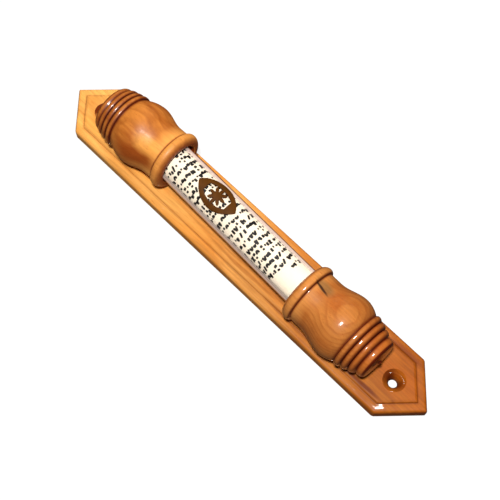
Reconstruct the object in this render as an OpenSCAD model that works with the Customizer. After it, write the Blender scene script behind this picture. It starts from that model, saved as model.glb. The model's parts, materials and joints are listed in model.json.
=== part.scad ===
// Mezuzah case: a turned wooden column holding a clear tube with a rolled
// parchment, fixed to a backboard with pointed ends.
// Frame: origin at the centre of the board's back face, +Z out of the board,
// +Y towards the top of the case, +X to the right as it hangs.

/* [Backboard] */
// Length from tip to tip
board_len = 250.5; // [220:0.5:300]
// Width across the straight sides
board_w = 37.5; // [36:0.5:46]
// Length of each pointed end
tip_len = 18; // [12:0.5:22]
// Thickness at the rim
rim_t = 6.8; // [6:0.1:9]
// Height of the raised field above the rim
field_step = 1.2; // [0.6:0.1:2]
// Distance from the edge to the raised field
field_inset = 4.5; // [3:0.1:6]
// Chamfer along the rim's top edge
edge_chamfer = 0.9; // [0.3:0.1:1.5]

/* [Wall holes] */
// Distance between the two screw holes
hole_spacing = 207.3; // [190:0.1:212]
// Diameter of the screw holes
hole_d = 4.6; // [3.5:0.1:5]
// Diameter of the countersink at the surface
sink_d = 11.4; // [9:0.1:12]
// Diameter where the shallow cone meets the steep one
sink_mid_d = 7.2; // [6:0.1:8]
// Depth of the shallow outer cone
sink_depth = 2.1; // [1:0.1:2.6]
// Depth of the steep inner cone
throat_depth = 3.2; // [1:0.1:3.4]

/* [Turned column] */
// Height of the column's axis above the raised field
axis_above_field = 14; // [13:0.1:16]
// Length of tube seen between the two caps
visible_tube = 90.6; // [70:0.2:94]
// Distance of the visible tube's middle above the board's middle
column_shift = 2.2; // [0:0.1:3]
// Sideways distance of the column from the board's centre line
column_offset = 0.2; // [0:0.1:1]
// Angle by which the column was fixed off the board's centre line
column_skew = 1.85; // [0:0.05:2]
// Angle of the upper cap to the column
upper_turn = 4.2; // [0:0.1:4.5]
// Angle of the lower cap to the column
lower_turn = 0.8; // [0:0.1:1]

/* [Caps] */
// Radius at the crest of the collar
collar_r = 16.2; // [15:0.1:17]
// Radius of the collar's front edge, around the tube
collar_front_r = 12.4; // [12.2:0.1:13]
// Radius of the neck behind the collar
neck_r = 14.5; // [14:0.1:15]
// Largest radius of the bulge
bulge_r = 17.4; // [16:0.1:18]
// Radius where the beads begin
bead_start_r = 14.5; // [13.5:0.1:15.5]
// Height of each bead above the grooves beside it
bead_h = 1.4; // [0.6:0.1:1.6]
// Distance from the upper cap's front face to its bulge
upper_bulge_a = 24.8; // [23:0.2:27]
// Distance from the lower cap's front face to its bulge
lower_bulge_a = 26.8; // [23:0.2:27]
// Width of one bead of the upper cap
upper_pitch = 3.25; // [3:0.05:3.7]
// Width of one bead of the lower cap
lower_pitch = 3.6; // [3:0.05:3.7]
// Radius at the last groove of the upper cap
upper_last_r = 12.6; // [10.5:0.1:13]
// Radius at the last groove of the lower cap
lower_last_r = 10.9; // [10.5:0.1:13]
// Length of the upper cap's rounded end
upper_round = 2; // [1.5:0.1:3.5]
// Length of the lower cap's rounded end
lower_round = 3; // [1.5:0.1:3.5]
// Depth of the upper socket, which leaves room to lift the tube
upper_socket = 20.5; // [20:0.1:21]
// Depth of the lower socket
lower_socket = 9; // [8:0.1:9.5]
// Radial gap between the tube and the upper socket
upper_gap = 1.1; // [1.1:0.1:1.3]
// Radial gap between the tube and the lower socket
lower_gap = 0.6; // [0.5:0.1:0.8]

/* [Tube and contents] */
// Outer diameter of the clear tube
tube_d = 20.8; // [20:0.1:21]
// Wall thickness of the clear tube
tube_wall = 0.8; // [0.6:0.1:1]
// Length of tube inside the upper socket
upper_insert = 10; // [9.5:0.1:10]
// Gap between the tube's lower end and the bottom of its socket
end_gap = 0.3; // [0.3:0.1:0.5]
// Thickness of the printed paper
sheet_t = 0.3; // [0.2:0.05:0.4]
// Length of the parchment roll
scroll_len = 100; // [80:1:102]
// Outer radius of the parchment roll
scroll_r = 8.75; // [7:0.05:8.8]
// Thickness of the parchment
parchment_t = 0.35; // [0.3:0.05:0.5]
// Number of turns in the roll
scroll_turns = 2.2; // [1.5:0.1:2.5]
// Distance between one turn and the next
turn_pitch = 0.9; // [0.8:0.05:1.1]

/* [Ornament] */
// Length of the almond-shaped ornament
ornament_len = 26; // [18:0.5:28]
// Width of the ornament
ornament_w = 14.5; // [10:0.5:15]
// Thickness of the ornament
ornament_t = 0.8; // [0.5:0.1:1]
// Width of the ornament's border
ornament_border = 2.6; // [1.5:0.1:3]
// Distance of the ornament above the middle of the board
ornament_y = 17.5; // [14:0.5:20]
// Angle by which the tube's front is turned to the left
front_turn = 2; // [0:1:15]

/* [Cap screws] */
// Length of the wood screws
screw_len = 16; // [14:0.5:16]
// Thread diameter
screw_d = 3.4; // [3:0.1:3.6]
// Diameter of the countersunk head
screw_head_d = 6.4; // [6:0.1:7]

/* [Hidden] */
$fn = 96;
eps = 0.01;
board_t = rim_t + field_step;
axis_h = board_t + axis_above_field;
tube_r = tube_d / 2;
upper_front = column_shift + visible_tube / 2;
lower_front = column_shift - visible_tube / 2;
tube_low = lower_front - lower_socket + end_gap;
tube_high = upper_front + upper_insert;
tube_len = tube_high - tube_low;
sheet_r = tube_r - tube_wall - 0.1;
sheet_len = tube_len - 3;
sheet_slit = 0.5;
contents_y = (tube_low + tube_high) / 2;
// Stations along a cap, measured from its front face
crest_a = 3.7;
notch_a = 5.8;
turn_a = 9.4;
neck_end_a = 12;
bead_a = 35.2;
full_beads = 3;
bead_curve = 1.3;
last_half = 1.5;
last_h = 0.6;
face_r = 2.4;
dome_h = 0.5;
nub_r = 1.3;
nub_h = 0.9;
// Cap screws, measured from the cap's front face
screw_stations = [26.2, 34.2];
screw_sink = 0.2;
head_h = (screw_head_d - screw_d) / 2;
core_r = screw_d / 2 - 0.5;
thread_pitch = 1.3;
thread_start = 6.5;
tip_h = 2.4;
pilot_gap = 0.05;
recess_w = 0.8;
recess_len = 3.6;
recess_depth = 1.3;

// ---- placing ----

// Puts its children in the column's frame: Y along the column, on its axis
module on_column() {
    translate([-column_offset, 0, axis_h])
        rotate([0, 0, -column_skew])
            children();
}

// Turns a shape made along +Z so that it runs along +Y
module along_y() {
    rotate([-90, 0, 0])
        children();
}

// Puts its children, made at a front face with Y along the cap, on a cap. Each cap
// is turned a little about an upright line through its socket.
module cap_frame(is_upper) {
    front = is_upper ? upper_front + turn_a : lower_front - turn_a;
    translate([0, front, 0])
        rotate([0, 0, is_upper ? upper_turn : lower_turn])
            if (is_upper)
                translate([0, -turn_a, 0])
                    children();
            else
                mirror([0, 1, 0])
                    translate([0, -turn_a, 0])
                        children();
}

// ---- backboard ----

// The board's outline, moved inwards by inset
module outline(inset) {
    half_w = board_w / 2;
    slope = tip_len / half_w;
    tip_y = board_len / 2 - inset * sqrt(1 + pow(slope, 2));
    side_x = half_w - inset;
    side_y = tip_y - side_x * slope;
    polygon([[side_x, side_y], [0, tip_y], [-side_x, side_y],
             [-side_x, -side_y], [0, -tip_y], [side_x, -side_y]]);
}

// A plate from z0 to z1 whose top edge is chamfered by c
module chamfered_plate(z0, z1, inset, c) {
    hull() {
        translate([0, 0, z0])
            linear_extrude(z1 - z0 - c)
                outline(inset);
        translate([0, 0, z0])
            linear_extrude(z1 - z0)
                outline(inset + c);
    }
}

module wall_hole() {
    translate([0, 0, -1])
        cylinder(h = board_t + 2, d = hole_d);
    translate([0, 0, board_t - sink_depth - throat_depth])
        cylinder(h = throat_depth + eps, d1 = hole_d, d2 = sink_mid_d);
    translate([0, 0, board_t - sink_depth])
        cylinder(h = sink_depth, d1 = sink_mid_d, d2 = sink_d);
    translate([0, 0, board_t - eps])
        cylinder(h = 1, d = sink_d);
}

// Clearance for one cap screw, seen from the board's back
module screw_clearance() {
    translate([0, 0, -1])
        cylinder(h = board_t + 2, d = screw_d + 0.3);
    translate([0, 0, screw_sink])
        cylinder(h = head_h, d1 = screw_head_d + 0.2, d2 = screw_d + 0.2);
    translate([0, 0, -1])
        cylinder(h = 1 + screw_sink + eps, d = screw_head_d + 0.2);
}

// Places its children at the two screws of a cap, with Z = 0 at the board's back
module at_cap_screws(is_upper) {
    on_column()
        cap_frame(is_upper)
            for (a = screw_stations)
                translate([0, a, -axis_h])
                    children();
}

module backplate() {
    color("#e0a35c")
        difference() {
            union() {
                chamfered_plate(0, rim_t, 0, edge_chamfer);
                chamfered_plate(rim_t - 1, board_t, field_inset, field_step * 0.7);
            }
            for (side = [-1, 1])
                translate([0, side * hole_spacing / 2, 0])
                    wall_hole();
            at_cap_screws(true)
                screw_clearance();
            at_cap_screws(false)
                screw_clearance();
        }
}

// ---- turned caps ----

function bulge_a(is_upper) = is_upper ? upper_bulge_a : lower_bulge_a;
function pitch(is_upper) = is_upper ? upper_pitch : lower_pitch;
function last_r(is_upper) = is_upper ? upper_last_r : lower_last_r;
function bore_r(is_upper) = tube_r + (is_upper ? upper_gap : lower_gap);
function last_groove_a(is_upper) = bead_a + full_beads * pitch(is_upper);

// Groove radius beside bead number i, falling to the last groove's
function groove_r(i, is_upper) =
    bead_start_r - (bead_start_r - last_r(is_upper)) * pow(i / full_beads, bead_curve);

function collar_front() = [for (t = [0:15:90])
    [collar_front_r + (collar_r - collar_front_r) * sin(t), crest_a * (1 - cos(t))]];

function collar_back() = [for (t = [15:15:90])
    [neck_r + (collar_r - neck_r) * cos(t), crest_a + (notch_a - crest_a) * sin(t)]];

function neck_to_bulge(is_upper) = [for (t = [0:18:180])
    [neck_r + (bulge_r - neck_r) * (1 - cos(t)) / 2,
     neck_end_a + (bulge_a(is_upper) - neck_end_a) * t / 180]];

function shoulder(is_upper) = [for (f = [1 / 6:1 / 6:1])
    [bulge_r - (bulge_r - bead_start_r) * pow(f, 2),
     bulge_a(is_upper) * (1 - f) + bead_a * f]];

function bead(i, is_upper) = [for (t = [20:20:180])
    let (f = (1 - cos(t)) / 2)
    [groove_r(i, is_upper) * (1 - f) + groove_r(i + 1, is_upper) * f + bead_h * sin(t),
     bead_a + pitch(is_upper) * (i + f)]];

function all_beads(is_upper) = [for (i = [0:full_beads - 1])
    each bead(i, is_upper)];

// The last bead rounds over into a slightly domed end face with a small nub
function cap_end(is_upper) =
    let (crest_r = last_r(is_upper) + last_h,
         last_crest_a = last_groove_a(is_upper) + last_half,
         end_a = last_crest_a + (is_upper ? upper_round : lower_round))
    [for (t = [30:20:90])
        [last_r(is_upper) + last_h * sin(t), last_crest_a - last_half * cos(t)],
     for (t = [15:15:90])
        [crest_r - face_r * (1 - cos(t)), last_crest_a + (end_a - last_crest_a) * sin(t)],
     for (k = [1:3])
        let (f = k / 3)
        [(crest_r - face_r) * (1 - f) + nub_r * f, end_a + dome_h * sin(90 * f)],
     for (t = [30:30:90])
        [nub_r * cos(t), end_a + dome_h + nub_h * sin(t)]];

module cap_body(is_upper) {
    rotate_extrude()
        polygon(concat([[0, 0]], collar_front(), collar_back(), neck_to_bulge(is_upper),
                       shoulder(is_upper), all_beads(is_upper), cap_end(is_upper)));
}

module turned_cap(is_upper, socket) {
    difference() {
        on_column()
            cap_frame(is_upper)
                along_y()
                    difference() {
                        cap_body(is_upper);
                        translate([0, 0, -1])
                            cylinder(h = socket + 1, r = bore_r(is_upper));
                    }
        // Flat that sits on the raised field
        translate([-board_w, -board_len / 2, board_t - 2 * bulge_r])
            cube([2 * board_w, board_len, 2 * bulge_r]);
        at_cap_screws(is_upper)
            cylinder(h = screw_sink + screw_len + 0.5, r = screw_d / 2 + pilot_gap);
    }
}

module upper_cap() {
    color("#c9823f")
        turned_cap(true, upper_socket);
}

module lower_cap() {
    color("#b9702f")
        turned_cap(false, lower_socket);
}

// ---- tube and contents ----

module shell(r_out, r_in, len) {
    difference() {
        cylinder(h = len, r = r_out);
        translate([0, 0, -1])
            cylinder(h = len + 2, r = r_in);
    }
}

module clear_tube() {
    color("#f4eceb", 0.35)
        on_column()
            translate([0, tube_low, 0])
                along_y()
                    shell(tube_r, tube_r - tube_wall, tube_len);
}

// Paper sleeve inside the tube, with the sheet's two edges meeting at the back
module printed_sheet() {
    color("#fbf8f0")
        on_column()
            rotate([0, -front_turn, 0])
                translate([0, contents_y - sheet_len / 2, 0])
                    difference() {
                        along_y()
                            shell(sheet_r, sheet_r - sheet_t, sheet_len);
                        translate([-sheet_slit / 2, -1, -2 * sheet_r])
                            cube([sheet_slit, sheet_len + 2, 2 * sheet_r]);
                    }
}

// Parchment rolled along a spiral and sprung out against the sleeve
module parchment_scroll() {
    function spiral_r(t) = scroll_r - parchment_t / 2 - turn_pitch * t / 360;
    last = 360 * scroll_turns;
    steps = 80;
    function edge(side) = [for (k = [0:steps])
        let (t = last * k / steps, r = spiral_r(t) + side * parchment_t / 2)
        [r * cos(t), r * sin(t)]];
    outer = edge(1);
    inner = edge(-1);
    color("#e8d9b0")
        on_column()
            translate([0, contents_y - scroll_len / 2, 0])
                along_y()
                    linear_extrude(scroll_len)
                        polygon(concat(outer, [for (k = [steps:-1:0]) inner[k]]));
}

// ---- ornament ----

module lens(len, w) {
    r = (pow(len, 2) + pow(w, 2)) / (4 * w);
    intersection() {
        translate([r - w / 2, 0])
            circle(r);
        translate([w / 2 - r, 0])
            circle(r);
    }
}

// Almond frame with solid ends and an eight-petalled rosette in its window
module ornament_outline() {
    petals = 8;
    petal_w = 2.1;
    window_w = ornament_w - 2 * ornament_border;
    window_half = ornament_len * 0.29;
    petal_len = window_w / 2 + 0.3;
    difference() {
        lens(ornament_len, ornament_w);
        intersection() {
            lens(ornament_len - 2 * ornament_border, window_w);
            square([ornament_w, 2 * window_half], center = true);
        }
    }
    for (k = [0:petals - 1])
        rotate(k * 360 / petals)
            translate([0, petal_len / 2])
                lens(petal_len, petal_w);
    circle(petal_w * 0.7);
}

module front_ornament() {
    color("#6e4214")
        on_column()
            rotate([0, -front_turn, 0])
                translate([0, ornament_y, 0])
                    intersection() {
                        translate([0, -ornament_len, 0])
                            along_y()
                                shell(tube_r + 0.05 + ornament_t, tube_r + 0.05, 2 * ornament_len);
                        linear_extrude(2 * tube_r)
                            ornament_outline();
                    }
}

// ---- cap screws ----

module wood_screw() {
    thread_top = screw_len - tip_h;
    difference() {
        union() {
            cylinder(h = head_h, d1 = screw_head_d, d2 = screw_d);
            cylinder(h = thread_start, d = screw_d);
            cylinder(h = thread_top, r = core_r);
            translate([0, 0, thread_top])
                cylinder(h = tip_h, r1 = core_r, r2 = 0.2);
            for (z = [thread_start + 0.6:thread_pitch:thread_top - 0.6])
                translate([0, 0, z])
                    thread_ring();
        }
        for (turn = [0, 90])
            rotate(turn)
                translate([-recess_len / 2, -recess_w / 2, -1])
                    cube([recess_len, recess_w, recess_depth + 1]);
    }
}

module thread_ring() {
    half = thread_pitch * 0.35;
    rotate_extrude()
        polygon([[core_r - 0.2, -half], [core_r, -half], [screw_d / 2, -0.05],
                 [screw_d / 2, 0.05], [core_r, half], [core_r - 0.2, half]]);
}

module cap_screws(is_upper) {
    color("#b9bcc0")
        at_cap_screws(is_upper)
            translate([0, 0, screw_sink])
                wood_screw();
}

module upper_cap_screws() {
    cap_screws(true);
}

module lower_cap_screws() {
    cap_screws(false);
}

backplate();
upper_cap();
lower_cap();
clear_tube();
printed_sheet();
front_ornament();
parchment_scroll();
upper_cap_screws();
lower_cap_screws();
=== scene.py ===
import json
import math
import random

import bmesh
import bpy
from mathutils import Matrix, Vector


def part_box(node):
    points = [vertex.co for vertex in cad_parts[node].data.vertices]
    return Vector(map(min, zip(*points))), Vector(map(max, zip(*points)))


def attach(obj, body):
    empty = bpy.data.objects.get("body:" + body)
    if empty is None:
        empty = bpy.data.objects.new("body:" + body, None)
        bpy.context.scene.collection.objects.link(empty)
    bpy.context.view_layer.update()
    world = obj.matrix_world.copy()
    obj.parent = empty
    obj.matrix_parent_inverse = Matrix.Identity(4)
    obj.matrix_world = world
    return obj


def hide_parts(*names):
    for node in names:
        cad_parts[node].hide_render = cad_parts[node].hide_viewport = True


MM = 0.001

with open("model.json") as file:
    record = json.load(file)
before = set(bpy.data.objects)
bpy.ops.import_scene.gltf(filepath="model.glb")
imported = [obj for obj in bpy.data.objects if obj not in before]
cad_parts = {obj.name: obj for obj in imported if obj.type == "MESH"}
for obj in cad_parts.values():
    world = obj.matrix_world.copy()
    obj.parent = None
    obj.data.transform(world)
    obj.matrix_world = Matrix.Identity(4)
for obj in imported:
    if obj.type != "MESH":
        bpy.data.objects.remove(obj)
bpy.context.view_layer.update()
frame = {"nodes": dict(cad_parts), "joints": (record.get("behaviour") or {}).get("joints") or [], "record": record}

# ---- sizes that the frame doesn't give, in millimetres ----

BOARD = {
    "tip_len": 18.0,
    "tip_r": 0.9,
    "corner_r": 2.5,
    "edge_r": 1.7,
    "back_edge": 0.4,
    "field_inset": 4.5,
    "field_step": 1.2,
    "cove_w": 1.3,
    "least_r": 0.2,
}
COVE_RISE = 0.92
WALL_HOLE = {"sink_r": 5.7, "mid_r": 3.6, "sink": 2.1, "throat": 3.2}
CAP_SCREW = {"stations": (26.2, 34.2), "head_r": 3.3, "shank_r": 1.85, "sunk": 0.2, "head_h": 1.5}
BOTH_CAPS = {
    "collar_r": 16.2,
    "collar_front_r": 12.4,
    "neck_r": 14.5,
    "bulge_r": 17.4,
    "bead_start_r": 14.5,
    "crest": 3.7,
    "notch": 5.8,
    "neck_end": 12.0,
    "bead_start": 35.2,
    "bead_h": 1.4,
    "bead_curve": 1.3,
    "last_half": 1.5,
    "last_h": 0.6,
    "face_r": 2.4,
    "dome": 0.5,
    "nub_r": 1.3,
    "nub_h": 0.9,
}
# way is the direction along the column, and turn is in degrees
CAPS = {
    "upper_cap": BOTH_CAPS | {
        "way": 1, "turn": 4.2, "bulge": 24.8, "pitch": 3.25, "last_r": 12.6, "round": 2.0,
        "bore_r": 11.5, "socket": 20.5,
    },
    "lower_cap": BOTH_CAPS | {
        "way": -1, "turn": 0.8, "bulge": 26.8, "pitch": 3.6, "last_r": 10.9, "round": 3.0,
        "bore_r": 11.0, "socket": 9.0,
    },
}
FULL_BEADS = 3
FRONT_TURN = math.radians(2)
SHEET_SLIT = 0.5

# ---- painted shade: how dark a point is painted in a crease or hollow, where 0 is in the open ----

COVE_SHADE = 0.35
# the lower hole is at -1 and the upper one at 1
WALL_HOLE_SHADE = {-1: 0.5, 1: 1.3}
# the widths of the painted shade in the grooves and its run from the end, in millimetres,
# and how dark the end is painted
CAP_SHADE = {"notch_w": 0.6, "groove_w": 0.9, "end_run": 1.5, "end": 1.2}

# ---- placing ----


def wall_hole_dims():
    """The record's dimensions of the two wall holes, in millimetres."""
    return next(m for m in frame["record"]["mounts"] if m["name"] == "wall_holes")["dims"]


def column_matrix():
    """The column's own frame: Y along its axis, Z away from the board, and the origin on the axis."""
    turn = next(j for j in frame["joints"] if j["name"] == "tube_turn")
    axis = Vector(turn["axis"]).normalized()
    side = axis.cross(Vector((0, 0, 1))).normalized()
    place = Matrix((side, axis, side.cross(axis))).transposed().to_4x4()
    place.translation = Vector(turn["pos_m"])
    return place


COLUMN = column_matrix()
FRONT = COLUMN @ Matrix.Rotation(-FRONT_TURN, 4, "Y")


def box_in(place, node):
    """Lowest and highest corner of a CAD node, measured in the frame that place gives."""
    back = place.inverted()
    points = [back @ v.co for v in frame["nodes"][node].data.vertices]
    return (
        Vector([min(p[i] for p in points) for i in range(3)]),
        Vector([max(p[i] for p in points) for i in range(3)]),
    )


def radii_in(place, node):
    """Smallest and largest distance of a CAD node's points from the Y axis of the frame that place gives."""
    back = place.inverted()
    points = [back @ v.co for v in frame["nodes"][node].data.vertices]
    distances = [math.hypot(p.x, p.z) for p in points]
    return min(distances), max(distances)


def cap_matrix(node):
    """A cap's own frame: the origin at the middle of its front face and Y running into the cap."""
    cap = CAPS[node]
    turned = COLUMN @ Matrix.Rotation(math.radians(cap["turn"]), 4, "Z")
    lo, hi = box_in(turned, node)
    front = lo.y if cap["way"] > 0 else hi.y
    place = turned @ Matrix.Translation(((lo.x + hi.x) / 2, front, 0))
    return place if cap["way"] > 0 else place @ Matrix.Rotation(math.pi, 4, "Z")


def make_camera(at, aim, up_hint, lens):
    """A camera at that point, aimed at another, with up_hint's direction upwards in the image."""
    data = bpy.data.cameras.new("camera")
    data.sensor_width, data.lens = 36, lens
    data.clip_start, data.clip_end = 0.01, 20
    camera = bpy.data.objects.new("camera", data)
    forward = (Vector(aim) - Vector(at)).normalized()
    right = forward.cross(Vector(up_hint)).normalized()
    camera.matrix_world = Matrix((right, right.cross(forward), -forward)).transposed().to_4x4()
    camera.location = at
    bpy.context.scene.collection.objects.link(camera)
    bpy.context.scene.camera = camera


# ---- mesh building ----


def finish_mesh(bm, name, sharp_angle=35):
    """A new object from bm, smooth except at edges sharper than that."""
    bmesh.ops.recalc_face_normals(bm, faces=bm.faces)
    mesh = bpy.data.meshes.new(name)
    bm.to_mesh(mesh)
    bm.free()
    mesh.shade_smooth()
    mesh.set_sharp_from_angle(angle=math.radians(sharp_angle))
    piece = bpy.data.objects.new(name, mesh)
    bpy.context.scene.collection.objects.link(piece)
    return piece


def bridge(bm, ring, other):
    """Faces between two rings of vertices. A ring of one vertex is a pole."""
    count = max(len(ring), len(other))
    for k in range(count):
        n = (k + 1) % count
        if len(ring) == 1:
            bm.faces.new((ring[0], other[n], other[k]))
        elif len(other) == 1:
            bm.faces.new((ring[k], ring[n], other[0]))
        else:
            bm.faces.new((ring[k], ring[n], other[n], other[k]))


def loop_edges(bm, ring):
    return [bm.edges.get((v, ring[(k + 1) % len(ring)])) for k, v in enumerate(ring)]


def lathe(bm, profile, place, segments=160, closed=False, painted_shade=None):
    """Turns (radius, y) points round the local Y axis. painted_shade(radius, y) is a point's painted shade."""
    layer = bm.verts.layers.float.get("painted_shade") or bm.verts.layers.float.new("painted_shade")
    rings = []
    for radius, y in profile:
        count = segments if radius > 1e-7 else 1
        ring = []
        for k in range(count):
            turn = 2 * math.pi * k / segments
            point = Vector((radius * math.sin(turn), y, radius * math.cos(turn)))
            vertex = bm.verts.new(place @ point)
            vertex[layer] = painted_shade(radius, y) if painted_shade else 0.0
            ring.append(vertex)
        rings.append(ring)
    for ring, other in zip(rings, rings[1:] + (rings[:1] if closed else [])):
        bridge(bm, ring, other)


def arc(first, last, count):
    """Angles in radians from first to last, which are in degrees, in that many equal steps."""
    return [math.radians(first + (last - first) * k / count) for k in range(count + 1)]


def evened(points, step):
    """The same line with its points a step apart and its creases slightly eased."""
    lengths = [0.0]
    for a, b in zip(points, points[1:]):
        lengths.append(lengths[-1] + math.dist(a, b))
    count = round(lengths[-1] / step)
    line, k = [], 0
    for i in range(count + 1):
        at = lengths[-1] * i / count
        while k < len(points) - 2 and lengths[k + 1] < at:
            k += 1
        share = (at - lengths[k]) / (lengths[k + 1] - lengths[k])
        line.append([a + (b - a) * share for a, b in zip(points[k], points[k + 1])])
    middle = [
        [(p + 2 * q + r) / 4 for p, q, r in zip(line[i - 1], line[i], line[i + 1])]
        for i in range(1, count)
    ]
    return [line[0], *middle, line[-1]]


# ---- backboard ----


def board_outline(lo, hi, inset):
    """The six corners of the board's outline, moved inwards by inset."""
    half_w, half_l, tip = (hi.x - lo.x) / 2, (hi.y - lo.y) / 2, BOARD["tip_len"] * MM
    slope = tip / half_w
    tip_y = half_l - inset * math.hypot(1, slope)
    side_x = half_w - inset
    side_y = tip_y - side_x * slope
    return [
        Vector(p)
        for p in (
            (side_x, -side_y),
            (side_x, side_y),
            (0, tip_y),
            (-side_x, side_y),
            (-side_x, -side_y),
            (0, -tip_y),
        )
    ]


def rounded(corners, radii, steps=8):
    """A closed line through those corners, each rounded to its radius."""
    line = []
    for k, (corner, radius) in enumerate(zip(corners, radii)):
        a = (corners[k - 1] - corner).normalized()
        b = (corners[(k + 1) % len(corners)] - corner).normalized()
        half = a.angle(b) / 2
        centre = corner + (a + b).normalized() * (radius / math.sin(half))
        start = corner + a * (radius / math.tan(half)) - centre
        for i in range(steps + 1):
            line.append(centre + Matrix.Rotation((math.pi - 2 * half) * i / steps, 2) @ start)
    return line


def board_section(top):
    """The board's edge from back to field, as (inset, height, painted shade), with painted shade in the cove at
    the field's step.
    """
    b = {k: v * MM for k, v in BOARD.items()}
    rim = top - b["field_step"]
    foot = b["field_inset"]
    section = [(b["back_edge"], 0.0, 0.0), (0.0, b["back_edge"], 0.0)]
    for t in arc(0, 90, 6):
        section.append((b["edge_r"] * (1 - math.cos(t)), rim - b["edge_r"] * (1 - math.sin(t)), 0.0))
    # painted shade gathers in the cove at the foot of the field's step
    section += [(foot - 0.9 * MM, rim, 0.0), (foot - 0.3 * MM, rim - 0.05 * MM, 0.25), (foot, rim, COVE_SHADE)]
    for t in arc(18, 90, 4):
        inset = foot + b["cove_w"] * (1 - math.cos(t))
        height = rim + b["field_step"] * math.sin(t) * COVE_RISE
        section.append((inset, height, COVE_SHADE * (1 - 2 * t / math.pi)))
    section.append((foot + b["cove_w"] + 0.15 * MM, top, 0.0))
    return section


def hole_rings(bm, centre, steps, segments=64, shade=0.0):
    """Rings of a round hole, one for each (radius, height), with painted shade, as strong as shade, on its +Y
    walls.
    """
    layer = bm.verts.layers.float["painted_shade"]
    rings = []
    for radius, z in steps:
        turns = [2 * math.pi * k / segments for k in range(segments)]
        ring = [
            bm.verts.new((centre[0] + radius * math.cos(t), centre[1] + radius * math.sin(t), z))
            for t in turns
        ]
        for t, v in zip(turns, ring):
            # painted shade on the hole's +Y wall, below its rim
            v[layer] = shade * max(0.0, math.sin(t)) if z < steps[0][1] else 0.0
        rings.append(ring)
    for ring, other in zip(rings, rings[1:]):
        bridge(bm, ring, other)
    return rings


def board_loops(bm):
    """The board's edge as closed rings of vertices, from the back to the raised field, each with its painted
    shade.
    """
    lo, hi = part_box("backplate")
    layer = bm.verts.layers.float.new("painted_shade")
    loops = []
    for inset, z, painted_shade in board_section(hi.z):
        corner, tip = [max(BOARD[key] * MM - inset, BOARD["least_r"] * MM) for key in ("corner_r", "tip_r")]
        line = rounded(board_outline(lo, hi, inset), [corner, corner, tip] * 2)
        ring = [bm.verts.new((p.x, p.y, z)) for p in line]
        for v in ring:
            v[layer] = painted_shade
        loops.append(ring)
    for ring, other in zip(loops, loops[1:]):
        bridge(bm, ring, other)
    return loops


def wall_hole_steps(top):
    """(radius, height) from the field through the two-stage countersink to the back."""
    h = {k: v * MM for k, v in WALL_HOLE.items()}
    hole_r = wall_hole_dims()["hole_r_mm"] * MM
    return [
        (h["sink_r"] + 0.15 * MM, top),
        (h["sink_r"], top - 0.12 * MM),
        (h["mid_r"], top - h["sink"]),
        (hole_r, top - h["sink"] - h["throat"]),
        (hole_r, 0.3 * MM),
        (hole_r + 0.2 * MM, 0.0),
    ]


def screw_hole_steps(top):
    """(radius, height) from the field through the shank's hole to the head's sinking in the back."""
    head, shank, sunk, head_h = [CAP_SCREW[key] * MM for key in ("head_r", "shank_r", "sunk", "head_h")]
    return [(shank, top), (shank, sunk + head_h), (head, sunk), (head, 0.0)]


def make_board():
    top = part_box("backplate")[1].z
    bm = bmesh.new()
    loops = board_loops(bm)
    holes = []
    # painted shade on the far wall of each wall hole, stronger in the upper one
    for side, dark in WALL_HOLE_SHADE.items():
        at = (0, side * wall_hole_dims()["spacing_y_mm"] * MM / 2)
        holes.append(hole_rings(bm, at, wall_hole_steps(top), shade=dark))
    for node in CAPS:
        for station in CAP_SCREW["stations"]:
            at = cap_matrix(node) @ Vector((0, station * MM, 0))
            holes.append(hole_rings(bm, at, screw_hole_steps(top), 40))
    for side, outer in ((0, loops[-1]), (-1, loops[0])):
        edges = loop_edges(bm, outer)
        for rings in holes:
            edges += loop_edges(bm, rings[side])
        bmesh.ops.triangle_fill(bm, edges=edges, use_beauty=True)
    piece = finish_mesh(bm, "board", 28)
    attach(piece, "frame")
    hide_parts("backplate")
    return piece


# ---- turned caps ----


def collar_points(c):
    """The mouth of the socket, the collar's rounded front and back, and the neck up to the bulge."""
    lip = 0.5
    points = [(c["bore_r"] + lip * (1 - math.sin(t)), lip * (1 - math.cos(t))) for t in arc(90, 0, 4)]
    width = c["collar_r"] - c["collar_front_r"]
    points += [
        (c["collar_front_r"] + width * math.sin(t), c["crest"] * (1 - math.cos(t)))
        for t in arc(0, 90, 16)
    ]
    width, length = c["collar_r"] - c["neck_r"], c["notch"] - c["crest"]
    points += [
        (c["neck_r"] + width * math.cos(t), c["crest"] + length * math.sin(t))
        for t in arc(0, 90, 16)
    ]
    width, length = c["bulge_r"] - c["neck_r"], c["bulge"] - c["neck_end"]
    points += [
        (c["neck_r"] + width * (1 - math.cos(t)) / 2, c["neck_end"] + length * t / math.pi)
        for t in arc(0, 180, 40)
    ]
    return points


def bead_points(c):
    """From the bulge down to the first groove, and over the full beads."""

    def groove(i):
        return c["bead_start_r"] - (c["bead_start_r"] - c["last_r"]) * (i / FULL_BEADS) ** c["bead_curve"]

    steps = 20
    points = []
    for f in (k / steps for k in range(1, steps + 1)):
        radius = c["bulge_r"] - (c["bulge_r"] - c["bead_start_r"]) * f**2
        points.append((radius, c["bulge"] * (1 - f) + c["bead_start"] * f))
    for i in range(FULL_BEADS):
        for t in arc(8, 180, 20):
            f = (1 - math.cos(t)) / 2
            radius = groove(i) * (1 - f) + groove(i + 1) * f + c["bead_h"] * math.sin(t)
            points.append((radius, c["bead_start"] + c["pitch"] * (i + f)))
    return points


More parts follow.
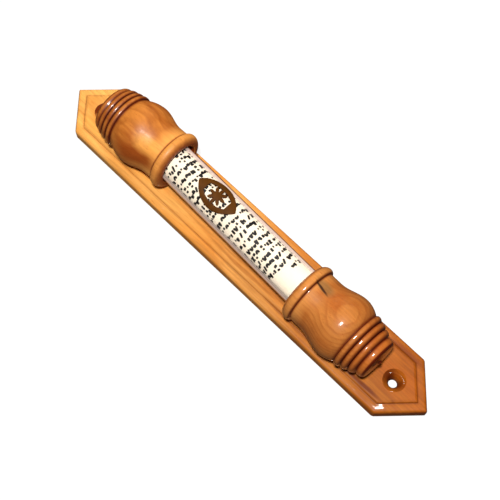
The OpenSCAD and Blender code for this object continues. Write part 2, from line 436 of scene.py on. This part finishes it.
def end_points(c):
    """The last bead, which rounds over into a slightly domed face with a small nub."""
    crest = c["bead_start"] + FULL_BEADS * c["pitch"] + c["last_half"]
    end = crest + c["round"]
    crest_r = c["last_r"] + c["last_h"]
    face = crest_r - c["face_r"]
    points = [
        (c["last_r"] + c["last_h"] * math.sin(t), crest - c["last_half"] * math.cos(t))
        for t in arc(15, 90, 8)
    ]
    points += [
        (crest_r - c["face_r"] * (1 - math.cos(t)), crest + c["round"] * math.sin(t))
        for t in arc(6, 90, 12)
    ]
    for f in (k / 12 for k in range(1, 13)):
        points.append((face * (1 - f) + c["nub_r"] * f, end + c["dome"] * math.sin(math.pi / 2 * f)))
    points += [(c["nub_r"] * math.cos(t), end + c["dome"] + c["nub_h"] * math.sin(t)) for t in arc(10, 90, 8)]
    return points


def cap_profile(c):
    """(radius, distance from the front face) from the socket's floor round the outside to the end's nub."""
    floor, round_r = c["socket"], 0.3
    inside = [(0.0, floor), (c["bore_r"] - round_r, floor), (c["bore_r"], floor - round_r)]
    return inside + evened(collar_points(c) + bead_points(c) + end_points(c), 0.28)


def cap_painted_shade(c, r, a):
    """How much painted shade a cap gets at radius r and station a: in its socket, its grooves and on its end."""
    dark = CAP_SHADE
    if r <= c["bore_r"]:
        return 1.0 if a <= c["socket"] else dark["end"]
    grooves = [(c["notch"], dark["notch_w"])]
    grooves += [(c["bead_start"] + c["pitch"] * i, dark["groove_w"]) for i in range(FULL_BEADS + 1)]
    in_groove = sum(math.exp(-(((a - at) / width) ** 2)) for at, width in grooves)
    end = c["bead_start"] + c["pitch"] * FULL_BEADS + c["last_half"] + c["round"]
    on_end = dark["end"] - (end - a) / dark["end_run"]
    return max(0.0, min(dark["end"], on_end), min(1.0, in_groove))


def make_cap(node):
    c = CAPS[node]
    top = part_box("backplate")[1].z
    bm = bmesh.new()
    profile = [(max(r, 0.0) * MM, a * MM) for r, a in cap_profile(c)]
    profile[-1] = (0.0, profile[-1][1])
    # painted shade in the socket, in the grooves and on the end
    lathe(bm, profile, cap_matrix(node), painted_shade=lambda r, y: cap_painted_shade(c, r / MM, y / MM))
    cut = bmesh.ops.bisect_plane(
        bm,
        geom=[*bm.verts, *bm.edges, *bm.faces],
        plane_co=(0, 0, top),
        plane_no=(0, 0, 1),
        clear_inner=True,
    )
    rim = [e for e in cut["geom_cut"] if isinstance(e, bmesh.types.BMEdge)]
    bmesh.ops.edgeloop_fill(bm, edges=rim)
    piece = finish_mesh(bm, node + "_turned", 40)
    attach(piece, "frame")
    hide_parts(node)
    return piece


# ---- tube, sheet and its marks ----


def make_tube():
    lo, hi = box_in(COLUMN, "clear_tube")
    inner, outer = radii_in(COLUMN, "clear_tube")
    ease = 0.2 * MM
    profile = [
        (outer - ease, lo.y),
        (outer, lo.y + ease),
        (outer, hi.y - ease),
        (outer - ease, hi.y),
        (inner + ease, hi.y),
        (inner, hi.y - ease),
        (inner, lo.y + ease),
        (inner + ease, lo.y),
    ]
    bm = bmesh.new()
    lathe(bm, profile, COLUMN, closed=True)
    piece = finish_mesh(bm, "tube")
    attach(piece, "tube")
    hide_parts("clear_tube")
    return piece


def make_sheet(steps=180):
    """The paper sleeve, rolled so that its two edges nearly meet at the back."""
    lo, hi = box_in(FRONT, "printed_sheet")
    inner, outer = radii_in(FRONT, "printed_sheet")
    gap = SHEET_SLIT * MM / 2 / outer
    turns = [gap - math.pi + (2 * math.pi - 2 * gap) * k / steps for k in range(steps + 1)]
    section = [(outer, t) for t in turns] + [(inner, t) for t in reversed(turns)]
    bm = bmesh.new()
    ends = []
    for y in (lo.y, hi.y):
        ring = [bm.verts.new(FRONT @ Vector((r * math.sin(t), y, r * math.cos(t)))) for r, t in section]
        ends.append(ring)
    bridge(bm, *ends)
    count = len(section)
    for ring in ends:
        for k in range(steps):
            bm.faces.new((ring[k], ring[k + 1], ring[count - 2 - k], ring[count - 1 - k]))
    piece = finish_mesh(bm, "sheet_sleeve", 40)
    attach(piece, "tube")
    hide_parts("printed_sheet")
    return piece


# in millimetres, with last_row and seam_gap in degrees round the sleeve and word_chance a share
MARKS = {
    "height": 3.1,
    "pen": 1.3,
    "row_pitch": 4.08,
    "last_row_y": -33.3,
    "film": 0.03,
    "seam_gap": 20.0,
    "space": 0.7,
    "word_space": 1.7,
    "word_chance": 0.22,
    "last_row": (8.0, 50.0),
    "width": (1.0, 1.9),
}


def stroke(points, width, taper=0.75):
    """A pen stroke: points along its middle, each with a half width."""
    line = [Vector(p) for p in points]
    length = sum((b - a).length for a, b in zip(line, line[1:]))
    count = max(3, math.ceil(length / 0.35))
    fine = evened([tuple(p) for p in line], length / count)
    rows = []
    for k, p in enumerate(fine):
        share = k / (len(fine) - 1)
        ease = taper + (1 - taper) * math.sin(math.pi * share) ** 0.5
        rows.append((Vector(p), width / 2 * ease))
    return rows


# Each kind of stroke takes the source of chance, a width and a height, and gives the width that it
# takes up and its strokes.


def bar(rnd, w, h):
    lean = rnd.uniform(-0.25, 0.25) * w
    return w * 0.45, [stroke([(0, 0), (lean, h * rnd.uniform(0.75, 1))], MARKS["pen"])]


def slash(rnd, w, h):
    return w, [stroke([(0, 0), (w * 0.8, h)], MARKS["pen"] * 0.9)]


def chevron(rnd, w, h):
    top = h * rnd.uniform(0.5, 0.9)
    return w, [
        stroke([(0, top), (w * 0.5, 0)], MARKS["pen"]),
        stroke([(w * 0.5, 0), (w, top)], MARKS["pen"] * 0.8),
    ]


def arch(rnd, w, h):
    turns = (0, 0.8, 1.57, 2.34, 3.14)
    points = [(w / 2 - w / 2 * math.cos(t), h * 0.35 + h * 0.5 * math.sin(t)) for t in turns]
    return w, [stroke(points, MARKS["pen"])]


def lozenge(rnd, w, h):
    size = w * rnd.uniform(0.6, 0.9)
    middle = h * rnd.uniform(0.4, 0.8)
    return size, [stroke([(0, middle), (size, middle)], h * 0.5, 0.3)]


def double_dash(rnd, w, h):
    return w, [
        stroke([(0, h * 0.85), (w, h * 0.95)], MARKS["pen"] * 1.1),
        stroke([(w * 0.1, h * 0.15), (w * 0.9, h * 0.05)], MARKS["pen"] * 0.9),
    ]


def cross(rnd, w, h):
    return w, [
        stroke([(0, 0), (w, h * 0.9)], MARKS["pen"]),
        stroke([(0, h * 0.9), (w, 0)], MARKS["pen"] * 0.7),
    ]


def draw_stroke(bm, rows, at, radius):
    """A thin solid film in the shape of one stroke, on the sleeve at that radius."""
    left, right = [], []
    for k, (p, half) in enumerate(rows):
        ahead = rows[min(k + 1, len(rows) - 1)][0] - rows[max(k - 1, 0)][0]
        across = Vector((-ahead.y, ahead.x)).normalized() * half
        left.append(p + across)
        right.append(p - across)
    outline = left + right[::-1]
    layers = []
    for r in (radius - 0.02 * MM, radius + MARKS["film"] * MM):
        layer = []
        for p in outline:
            turn = at[0] + p.x * MM / radius
            point = Vector((r * math.sin(turn), at[1] + p.y * MM, r * math.cos(turn)))
            layer.append(bm.verts.new(FRONT @ point))
        layers.append(layer)
    bridge(bm, *layers)
    count = len(outline)
    for layer in layers:
        for k in range(len(rows) - 1):
            bm.faces.new((layer[k], layer[k + 1], layer[count - 2 - k], layer[count - 1 - k]))


STROKE_KINDS = {bar: 4, slash: 1, chevron: 3, arch: 4, lozenge: 4, double_dash: 2, cross: 1}


def draw_row(bm, rnd, y, turn, end, radius):
    """One row of strokes chosen at random, round the sleeve from one angle to another."""
    while turn < end:
        kind = rnd.choices(list(STROKE_KINDS), list(STROKE_KINDS.values()))[0]
        height = MARKS["height"] * rnd.uniform(0.7, 1.0)
        width, strokes = kind(rnd, rnd.uniform(*MARKS["width"]), height)
        lift = rnd.uniform(0, MARKS["height"] - height) * MM
        for rows in strokes:
            draw_stroke(bm, rows, (turn, y - MARKS["height"] * MM / 2 + lift), radius)
        gap = MARKS["word_space"] if rnd.random() < MARKS["word_chance"] else MARKS["space"]
        turn += (width + gap) * MM / radius


def make_marks():
    """Rows of made-up pen strokes on the sleeve. The last row, which is made first, is a short one."""
    rnd = random.Random(7)
    radius = radii_in(FRONT, "printed_sheet")[1]
    high = box_in(FRONT, "printed_sheet")[1].y
    seam = math.radians(MARKS["seam_gap"])
    bm = bmesh.new()
    y = MARKS["last_row_y"] * MM
    turns = [math.radians(turn) for turn in MARKS["last_row"]]
    while y + MARKS["height"] * MM < high - 1 * MM:
        draw_row(bm, rnd, y, *turns, radius)
        turns = [seam - math.pi, math.pi - seam]
        y += MARKS["row_pitch"] * MM
    piece = finish_mesh(bm, "sheet_marks", 50)
    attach(piece, "tube")
    return piece


# ---- ornament ----

ORNAMENT = {"border": 2.6, "petals": 8, "overlap": 0.3, "window": 0.29, "sunk": 0.12, "bevel": 0.16}


def lens_points(length, width, steps=24):
    """Outline of a lens, pointed at both ends of its length along Y."""
    radius = (length**2 + width**2) / (4 * width)
    half = math.asin(length / 2 / radius)
    side = [
        (radius * math.cos(t) - radius + width / 2, radius * math.sin(t))
        for t in (-half + 2 * half * k / steps for k in range(steps))
    ]
    return side + [(-x, -y) for x, y in side]


def window_points(length, width, half, steps=24):
    """The lens of the window, cut off straight at both ends."""
    inner = lens_points(length, width, 4 * steps)
    return [p for p in inner if abs(p[1]) < half]


def curve_outline(curve, points):
    spline = curve.splines.new("POLY")
    spline.points.add(len(points) - 1)
    for point, (x, y) in zip(spline.points, points):
        point.co = (x * MM, y * MM, 0, 1)
    spline.use_cyclic_u = True


def solid_from_outlines(outlines, thickness, bevel):
    """A flat plate with a rounded arris from closed outlines; an outline inside another is a hole."""
    curve = bpy.data.curves.new("plate", "CURVE")
    curve.dimensions, curve.fill_mode = "2D", "BOTH"
    curve.extrude, curve.bevel_depth, curve.bevel_resolution = thickness / 2 - bevel, bevel, 2
    curve.offset = -bevel
    for points in outlines:
        curve_outline(curve, points)
    holder = bpy.data.objects.new("plate", curve)
    bpy.context.scene.collection.objects.link(holder)
    bpy.context.view_layer.update()
    mesh = bpy.data.meshes.new_from_object(holder.evaluated_get(bpy.context.evaluated_depsgraph_get()))
    bpy.data.objects.remove(holder)
    bpy.data.curves.remove(curve)
    bm = bmesh.new()
    bm.from_mesh(mesh)
    bpy.data.meshes.remove(mesh)
    bmesh.ops.remove_doubles(bm, verts=bm.verts, dist=1e-6)
    return bm


def wrap_on_tube(bm, inner, thickness, centre_y, step=0.0005):
    """Bends a flat plate round the tube's front, keeping its width as seen from the front."""
    reach = max(abs(v.co.x) for v in bm.verts)
    for k in range(-int(reach / step), int(reach / step) + 1):
        parts = [*bm.verts, *bm.edges, *bm.faces]
        bmesh.ops.bisect_plane(bm, geom=parts, plane_co=(k * step, 0, 0), plane_no=(1, 0, 0))
    for v in bm.verts:
        radius = inner + thickness / 2 + v.co.z
        turn = math.asin(v.co.x / (inner + thickness))
        v.co = FRONT @ Vector((radius * math.sin(turn), centre_y + v.co.y, radius * math.cos(turn)))


def rosette_points(radius, petals, steps=16):
    """Outline of a flower of pointed petals."""
    points = []
    for k in range(petals * steps):
        wave = abs(math.cos(math.pi * k / steps))
        reach = radius * (0.45 + 0.55 * wave**1.3)
        turn = 2 * math.pi * k / (petals * steps)
        points.append((reach * math.sin(turn), reach * math.cos(turn)))
    return points


def make_ornament():
    """The almond frame, and the rosette in its window, set a little lower than the frame."""
    lo, hi = box_in(FRONT, "front_ornament")
    inner, outer = radii_in(FRONT, "front_ornament")
    thickness = outer - inner
    length, width = (hi.y - lo.y) / MM, (hi.x - lo.x) / MM
    o = ORNAMENT
    window_w = width - 2 * o["border"]
    window = window_points(length - 2 * o["border"], window_w, length * o["window"])
    pieces = []
    for name, outlines, sunk in (
        ("ornament_frame", [lens_points(length, width), window], 0.0),
        ("ornament_rosette", [rosette_points(window_w / 2 + o["overlap"], o["petals"])], o["sunk"] * MM),
    ):
        bm = solid_from_outlines(outlines, thickness - sunk, o["bevel"] * MM)
        wrap_on_tube(bm, inner, thickness - sunk, (lo.y + hi.y) / 2)
        piece = finish_mesh(bm, name, 50)
        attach(piece, "tube")
        pieces.append(piece)
    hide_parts("front_ornament")
    return pieces


# ---- materials ----

VARNISH = {"specular": 0.15, "coat": 0.8, "roughness": 0.12, "ripple": 420.0, "bump": 0.3}
DULL_VARNISH = {"specular": 0.3, "coat": 0.03, "roughness": 0.2, "ripple": 420.0, "bump": 0.3}
BOARD_VARNISH = {"specular": 0.15, "coat": 0.8, "roughness": 0.03, "ripple": 420.0, "bump": 0.02}
# painted shade: the tint that creases, sockets, hole walls and the caps' ends are darkened towards
PAINTED_SHADE_TINT = (0.3, 0.11, 0.05, 1)
# darker end grain: partly the wood's own tone and partly painted shade on flanks facing along the grain
ENDS_TONE_AND_SHADE = {"from": 0.4, "to": 1.0, "tint": (0.35, 0.18, 0.1, 1)}


def show(tree, shader):
    """Sends a shader to the material's output."""
    out = add(tree, "OutputMaterial")
    tree.links.new(shader.outputs[0], out.inputs[0])


def new_material(name):
    material = bpy.data.materials.new(name)
    material.use_nodes = True
    material.node_tree.nodes.clear()
    return material


def add(tree, kind, inputs=None, **settings):
    """A node with its settings, and its inputs set to values or linked to other nodes' outputs."""
    node = tree.nodes.new("ShaderNode" + kind)
    for key, value in settings.items():
        setattr(node, key, value)
    for key, value in (inputs or {}).items():
        if isinstance(value, bpy.types.NodeSocket):
            tree.links.new(value, node.inputs[key])
        else:
            node.inputs[key].default_value = value
    return node


def mix(tree, factor, a, b, blend="MIX"):
    """The colour a mixed with b."""
    node = add(tree, "Mix", data_type="RGBA", blend_type=blend, clamp_factor=True)
    for index, value in ((0, factor), (6, a), (7, b)):
        if isinstance(value, bpy.types.NodeSocket):
            tree.links.new(value, node.inputs[index])
        else:
            node.inputs[index].default_value = value
    return node.outputs[2]


def ramp(tree, factor, stops):
    """A colour ramp with those (position, colour) stops."""
    node = add(tree, "ValToRGB", {"Fac": factor})
    elements = node.color_ramp.elements
    while len(elements) < len(stops):
        elements.new(0.5)
    for element, (position, colour) in zip(elements, stops):
        element.position = position
        element.color = colour
    return node.outputs["Color"]


def grey(value):
    return (value, value, value, 1)


def stretched(tree, vector, scale):
    return add(tree, "Mapping", {"Vector": vector, "Scale": scale}).outputs["Vector"]


def noise(tree, vector, scale, detail=4.0, roughness=0.55, distortion=0.0):
    inputs = {
        "Vector": vector,
        "Scale": scale,
        "Detail": detail,
        "Roughness": roughness,
        "Distortion": distortion,
    }
    return add(tree, "TexNoise", inputs).outputs["Fac"]


def grown_rings(tree, warped, pith, spacing_mm):
    """Dark late wood as 1 and light early wood as 0, in rings round an axis along Y through pith."""
    at_pith = add(tree, "Mapping", {"Vector": warped, "Location": (-pith[0], 0, -pith[1])}).outputs[0]
    rings = add(
        tree,
        "TexWave",
        {"Vector": at_pith, "Scale": 2 * math.pi / (20 * spacing_mm * MM), "Distortion": 0.8, "Detail": 2.0},
        wave_type="RINGS",
        rings_direction="Y",
        wave_profile="SAW",
    ).outputs["Fac"]
    return ramp(tree, rings, [(0.0, grey(0)), (0.5, grey(0.2)), (0.85, grey(1)), (1.0, grey(0))])


def warp(tree, coords, amount_mm, scale=38.0):
    """The coordinates pushed about by a slow noise that is drawn out along the grain."""
    drawn_out = stretched(tree, coords, (1, 0.35, 1))
    drift = add(tree, "TexNoise", {"Vector": drawn_out, "Scale": scale, "Detail": 3.0}).outputs["Color"]
    centred = add(tree, "VectorMath", {0: drift, 1: (0.5, 0.5, 0.5)}, operation="SUBTRACT").outputs[0]
    pushed = add(tree, "VectorMath", {0: centred, "Scale": amount_mm * MM}, operation="SCALE").outputs[0]
    return add(tree, "VectorMath", {0: coords, 1: pushed}, operation="ADD").outputs[0]


def times(tree, colour, factor):
    return mix(tree, 1.0, colour, factor, "MULTIPLY")


def ellipsoid(tree, coords, centre, half, turn=0.0):
    """1 at the centre of an ellipsoid, falling to 0 at its surface."""
    local = add(
        tree,
        "Mapping",
        {"Vector": coords, "Location": centre, "Rotation": (0, 0, turn), "Scale": half},
        vector_type="TEXTURE",
    ).outputs[0]
    return add(tree, "TexGradient", {"Vector": local}, gradient_type="SPHERICAL").outputs["Fac"]


def ringed(tree, warped, colours, pith, rings, patch):
    """Patches of the light and middle tones, crossed by rings of the dark one."""
    light, middle, dark = colours
    spacing, _, depth = rings
    patches = noise(tree, stretched(tree, warped, (1, 0.45, 1)), patch["scale"], 3.0, 0.5, 0.8)
    base = mix(tree, ramp(tree, patches, [(patch["low"], grey(0)), (patch["high"], grey(1))]), light, middle)
    late = add(tree, "Math", {0: grown_rings(tree, warped, pith, spacing), 1: depth}, operation="MULTIPLY")
    return mix(tree, late.outputs[0], base, dark)


def spotted(tree, base, coords, spots):
    """Soft-edged spots of another colour, each (centre, half sizes, turn, colour, strength)."""
    for centre, half, turn, colour, strength in spots:
        mask = ellipsoid(tree, warp(tree, coords, 5.0, 90.0), centre, half, turn)
        base = mix(tree, ramp(tree, mask, [(0.0, grey(0)), (0.55, grey(strength))]), base, colour)
    return base


def grained(tree, base, coords, fibres, fibre, dark):
    """Fibres that darken and lighten the wood by that share, and short dark pores."""
    stripes = ramp(tree, fibres, [(0.3, grey(1 - fibre)), (0.62, grey(1)), (0.8, grey(1 + fibre / 3))])
    base = times(tree, base, stripes)
    pores = noise(tree, stretched(tree, coords, (1, 0.07, 1)), 2600.0, 1.0, 0.4)
    return mix(tree, ramp(tree, pores, [(0.66, grey(0)), (0.74, grey(0.4))]), base, dark)


def tinted_along(tree, base, warped, start, end, tint):
    """The colour tinted gradually from one y to another, partly a change of tone and partly painted shade."""
    y = add(tree, "SeparateXYZ", {0: warped}).outputs["Y"]
    along = add(tree, "MapRange", {"Value": y, "From Min": start, "From Max": end}).outputs[0]
    return times(tree, base, mix(tree, along, grey(1), tint))


def end_grain_and_painted_shade(tree, base):
    """End grain darker, partly its own tone and partly painted shade, and painted shade in creases."""
    facing = add(tree, "SeparateXYZ", {0: add(tree, "TexCoord").outputs["Normal"]}).outputs["Y"]
    steep = add(tree, "Math", {0: facing}, operation="ABSOLUTE").outputs[0]
    ends = add(tree, "MapRange", {"Value": steep, "From Min": ENDS_TONE_AND_SHADE["from"], "From Max": ENDS_TONE_AND_SHADE["to"]})
    base = mix(tree, ends.outputs[0], base, times(tree, base, ENDS_TONE_AND_SHADE["tint"]))
    # painted shade, read from the vertices
    groove = add(tree, "Attribute", attribute_name="painted_shade").outputs["Fac"]
    return mix(tree, groove, base, times(tree, base, PAINTED_SHADE_TINT))


def varnished(tree, coords, base, fibres, gloss, shiny):
    """The wood under a rippled coat of varnish, which has full gloss inside the shiny ellipsoid."""
    coat = gloss["coat"]
    if shiny:
        mask = ramp(tree, ellipsoid(tree, coords, *shiny), [(0.0, grey(coat)), (0.3, grey(VARNISH["coat"]))])
        coat = add(tree, "SeparateColor", {0: mask}).outputs[0]
    bump = add(tree, "Bump", {"Height": fibres, "Strength": 0.12, "Distance": 0.0004})
    ripple = noise(tree, coords, gloss["ripple"], 2.0, 0.5)
    coat_bump = add(tree, "Bump", {"Height": ripple, "Strength": gloss["bump"], "Distance": 0.0004})
    return add(
        tree,
        "BsdfPrincipled",
        {
            "Base Color": base,
            "Roughness": 0.5,
            "Specular IOR Level": gloss["specular"],
            "Coat Weight": coat,
            "Coat Roughness": gloss["roughness"],
            "Coat IOR": 1.5,
            "Normal": bump.outputs[0],
            "Coat Normal": coat_bump.outputs[0],
        },
    )


def wood(name, colours, pith, rings, patch, fibre, gloss, spots=(), lower_end_tint_and_shade=None, shiny=None):
    """Varnished wood with its grain along Y.

    colours are its light, middle and dark tones, and rings is (spacing mm, warp mm, depth).
    lower_end_tint_and_shade is (y, y, tint) from one end to the other, partly a change of tone and partly
    painted shade, and shiny is the (centre, half sizes) of a part with full gloss.
    """
    material = new_material(name)
    tree = material.node_tree
    coords = add(tree, "TexCoord").outputs["Object"]
    warped = warp(tree, coords, rings[1])
    fibres = noise(tree, stretched(tree, warped, (1, 0.035, 1)), 900.0, 3.0, 0.6)
    base = ringed(tree, warped, colours, pith, rings, patch)
    base = spotted(tree, base, coords, spots)
    base = grained(tree, base, coords, fibres, fibre, colours[-1])
    if lower_end_tint_and_shade:
        base = tinted_along(tree, base, warped, *lower_end_tint_and_shade)
    base = end_grain_and_painted_shade(tree, base)
    show(tree, varnished(tree, coords, base, fibres, gloss, shiny))
    return material


def on_cap(node, a, turn, radius):
    """A point of a cap's surface, a and radius in millimetres and turn in degrees from its top towards +X."""
    turn = math.radians(turn) * CAPS[node]["way"]
    return cap_matrix(node) @ (Vector((radius * math.sin(turn), a, radius * math.cos(turn))) * MM)


def plain(name, colour, roughness, grain_scale, grain_amount, bump=0.0, metallic=0.0, specular=0.5):
    """A material of one tone with a fine grain in its colour and surface."""
    material = new_material(name)
    tree = material.node_tree
    coords = add(tree, "TexCoord").outputs["Object"]
    grain = noise(tree, coords, grain_scale, 5.0, 0.6)
    tone = ramp(tree, grain, [(0.3, grey(1 - grain_amount)), (0.7, grey(1))])
    base = times(tree, colour, tone)
    height = add(tree, "Bump", {"Height": grain, "Strength": bump, "Distance": 0.0002})
    shader = add(
        tree,
        "BsdfPrincipled",
        {
            "Base Color": base,
            "Roughness": roughness,
            "Metallic": metallic,
            "Specular IOR Level": specular,
            "Normal": height.outputs[0],
        },
    )
    show(tree, shader)
    return material


# painted reflection of the wood, pale pink, then painted shade, near black, where the tube's wall is seen edge on
EDGE_PAINTED_TINTS = [(0.6, (1.0, 0.82, 0.72, 1)), (0.72, (0.8, 0.5, 0.4, 1)), (0.8, (0.12, 0.02, 0.01, 1))]


def clear_plastic():
    """Clear plastic, see-through and glossiest where its wall is seen edge on. There it is painted pale pink,
    a painted reflection of the wood, and then dark, a painted shadow line.
    """
    material = new_material("clear_plastic")
    tree = material.node_tree
    facing = add(tree, "LayerWeight", {"Blend": 0.5}).outputs["Facing"]
    steep = add(tree, "Math", {0: facing, 1: 5.0}, operation="POWER").outputs[0]
    edge = add(tree, "Math", {0: steep, 1: 0.9, 2: 0.04}, operation="MULTIPLY_ADD")
    through = add(tree, "BsdfTransparent", {"Color": (0.98, 0.97, 0.97, 1)})
    # how much of the painted edge colour shows
    wall = ramp(tree, facing, [(0.45, grey(0)), (0.62, grey(0.8))])
    tint = ramp(tree, facing, EDGE_PAINTED_TINTS)
    painted_edge = add(tree, "BsdfDiffuse", {"Color": tint})
    body = add(tree, "MixShader", {0: wall, 1: through.outputs[0], 2: painted_edge.outputs[0]})
    gloss = add(tree, "BsdfGlossy", {"Color": (1, 1, 1, 1), "Roughness": 0.05})
    show(tree, add(tree, "MixShader", {0: edge.outputs[0], 1: body.outputs[0], 2: gloss.outputs[0]}))
    return material


def board_wood():
    """Light wood that darkens towards the lower end, partly in tone and partly as painted shade,
    with four darker streaks of painted shade beside the column, along the field's step.
    """
    return wood(
        "board_wood",
        ((0.88, 0.42, 0.1, 1), (0.76, 0.3, 0.048, 1), (0.45, 0.13, 0.013, 1)),
        pith=(0.004, -0.045),
        rings=(3.2, 6, 0.45),
        patch={"scale": 45.0, "low": 0.4, "high": 0.62},
        fibre=0.28,
        gloss=BOARD_VARNISH,
        # painted shade of light falling off, together with a change of tone, towards the lower end
        lower_end_tint_and_shade=(0.05, -0.1, (0.46, 0.27, 0.07, 1)),
        # four dark streaks of painted shade beside the column, along the field's step
        spots=(
            ((-0.0125, -0.0925, 0.008), (1.6 * MM, 18 * MM, 4 * MM), 0.0, (0.24, 0.05, 0.005, 1), 0.8),
            ((0.0145, -0.097, 0.007), (2.2 * MM, 20 * MM, 4 * MM), 0.05, (0.3, 0.07, 0.008, 1), 0.6),
            ((-0.0115, -0.012, 0.008), (1.3 * MM, 26 * MM, 4 * MM), 0.03, (0.42, 0.11, 0.01, 1), 0.5),
            ((-0.014, -0.045, 0.008), (1.2 * MM, 20 * MM, 4 * MM), -0.02, (0.4, 0.1, 0.01, 1), 0.5),
        ),
    )


def cap_spot(node, at, half, turn, colour, strength):
    """A spot on a cap, at (station mm, turn in degrees, radius mm), with its half sizes in millimetres."""
    return on_cap(node, *at), Vector(half) * MM, turn, colour, strength


def upper_cap_wood():
    """A light collar and flank, a dark side to the bulge, darker beads, and gloss only on the beads."""
    node = "upper_cap"
    return wood(
        "upper_cap_wood",
        ((0.55, 0.185, 0.028, 1), (0.36, 0.092, 0.009, 1), (0.26, 0.055, 0.004, 1)),
        pith=(0.03, -0.02),
        rings=(4.0, 9, 0.4),
        patch={"scale": 75.0, "low": 0.42, "high": 0.6},
        fibre=0.16,
        gloss=DULL_VARNISH,
        spots=(
            cap_spot(node, (5.5, 0, 0), (25, 10, 25), 0.0, (0.8, 0.34, 0.07, 1), 1.0),
            cap_spot(node, (17, -62, 16), (12, 16, 7), 0.0, (0.25, 0.045, 0.002, 1), 0.9),
            cap_spot(node, (13.5, -28, 16), (6, 10, 8), 0.3, (0.78, 0.33, 0.06, 1), 0.8),
            cap_spot(node, (44, 0, 0), (25, 13, 25), 0.0, (0.34, 0.085, 0.008, 1), 0.5),
        ),
        shiny=(on_cap(node, 43, 0, 0), (30 * MM, 12 * MM, 30 * MM)),
    )


def lower_cap_wood():
    """A light collar, a darker patch on the bulge, a knot with a crack in it, and darker beads."""
    node = "lower_cap"
    return wood(
        "lower_cap_wood",
        ((0.46, 0.157, 0.03, 1), (0.37, 0.103, 0.015, 1), (0.25, 0.047, 0.005, 1)),
        pith=(-0.0075, -0.028),
        rings=(1.6, 4, 0.35),
        patch={"scale": 60.0, "low": 0.4, "high": 0.65},
        fibre=0.16,
        gloss=VARNISH,
        spots=(
            cap_spot(node, (4.5, 0, 0), (25, 9, 25), 0.0, (0.62, 0.245, 0.055, 1), 1.0),
            cap_spot(node, (19, 10, 16), (9, 5, 8), 0.3, (0.33, 0.07, 0.008, 1), 0.6),
            cap_spot(node, (10.5, 15, 14.5), (3.4, 7.5, 4), -0.2, (0.2, 0.1, 0.03, 1), 0.7),
            cap_spot(node, (9.6, 9, 14.5), (0.9, 6.5, 3), -0.22, (0.03, 0.01, 0.004, 1), 0.95),
            cap_spot(node, (46, 0, 0), (25, 15, 25), 0.0, (0.42, 0.095, 0.008, 1), 0.6),
        ),
    )


def paint(piece, material):
    piece.data.materials.clear()
    piece.data.materials.append(material)


# ---- stage and light ----


def make_floor():
    """A floor that glows evenly for the camera alone and isn't mirrored in the varnish."""
    bm = bmesh.new()
    bmesh.ops.create_grid(bm, x_segments=1, y_segments=1, size=4)
    bmesh.ops.translate(bm, vec=(0, 0, -0.0002), verts=bm.verts)
    floor = finish_mesh(bm, "floor")
    material = new_material("floor")
    tree = material.node_tree
    seen = add(tree, "LightPath").outputs["Is Camera Ray"]
    glow = add(tree, "Math", {0: seen, 1: 0.8}, operation="MULTIPLY").outputs[0]
    shader = add(
        tree,
        "BsdfPrincipled",
        {"Base Color": grey(0.15), "Roughness": 0.8, "Emission Color": grey(1), "Emission Strength": glow},
    )
    show(tree, shader)
    paint(floor, material)
    floor.visible_glossy = False


def area_light(
    name, at, aim, size, power, colour=(1, 1, 1), along=(1, 0, 0), mirrored=True, diffuse=True, only=None
):
    """A rectangular light with its first side along that direction. only is the one piece that it lights."""
    data = bpy.data.lights.new(name, "AREA")
    data.shape = "RECTANGLE"
    data.size, data.size_y = size
    data.energy, data.color = power, colour
    light = bpy.data.objects.new(name, data)
    forward = (Vector(aim) - Vector(at)).normalized()
    side = (Vector(along) - forward * forward.dot(along)).normalized()
    light.matrix_world = Matrix((side, side.cross(forward), -forward)).transposed().to_4x4()
    light.location = at
    light.visible_glossy, light.visible_diffuse = mirrored, diffuse
    if only:
        lit = bpy.data.collections.new(name + "_lit")
        lit.objects.link(only)
        light.light_linking.receiver_collection = lit
    bpy.context.scene.collection.objects.link(light)


def make_world(colour, strength):
    world = bpy.data.worlds.new("studio")
    world.use_nodes = True
    world.node_tree.nodes["Background"].inputs["Color"].default_value = colour
    world.node_tree.nodes["Background"].inputs["Strength"].default_value = strength
    bpy.context.scene.world = world


# ---- the scene ----

make_camera(at=(-0.1412, -0.1392, 0.4750), aim=(-0.0014, -0.0070, 0.008), up_hint=(1, 1, 0), lens=72)
bpy.context.scene.view_settings.view_transform = "Standard"
make_world((1, 0.68, 0.45, 1), 0.06)
make_floor()

board = make_board()
upper = make_cap("upper_cap")
lower = make_cap("lower_cap")
tube = make_tube()
sheet = make_sheet()
marks = make_marks()
ornament = make_ornament()

area_light("key", (-0.153, -0.1, 0.71), (0, 0, 0), (0.06, 0.06), 7.6)
area_light("fill", (0.6, 0.35, 0.5), (0, 0.03, 0), (0.6, 0.6), 4.2, (1, 0.95, 0.88), mirrored=False)
area_light("paper_fill", (-0.5, 0.1, 0.25), (0, 0, 0.02), (0.4, 0.4), 0.3, mirrored=False, only=sheet)
area_light(
    "glint", (0.0959, -0.0811, 0.475), (-0.018, -0.104, 0.007), (0.018, 0.004), 0.35, along=(0.72, -0.69, 0),
    diffuse=False, only=board,
)

paint(board, board_wood())
paint(upper, upper_cap_wood())
paint(lower, lower_cap_wood())
paint(tube, clear_plastic())
paint(sheet, plain("printed_paper", (0.93, 0.86, 0.68, 1), 0.75, 900.0, 0.05, 0.1))
paint(marks, plain("ink", (0.006, 0.006, 0.007, 1), 0.6, 2000.0, 0.3))
for piece in ornament:
    paint(piece, plain("brown_film", (0.088, 0.028, 0.0013, 1), 0.55, 300.0, 0.3, 0.02, specular=0.12))
paint(frame["nodes"]["parchment_scroll"], plain("parchment", (0.8, 0.66, 0.42, 1), 0.7, 500.0, 0.15, 0.2))
steel = plain("screw_steel", (0.62, 0.63, 0.65, 1), 0.28, 1500.0, 0.2, 0.1, metallic=1.0)
for name in ("upper_cap_screws", "lower_cap_screws"):
    paint(frame["nodes"][name], steel)
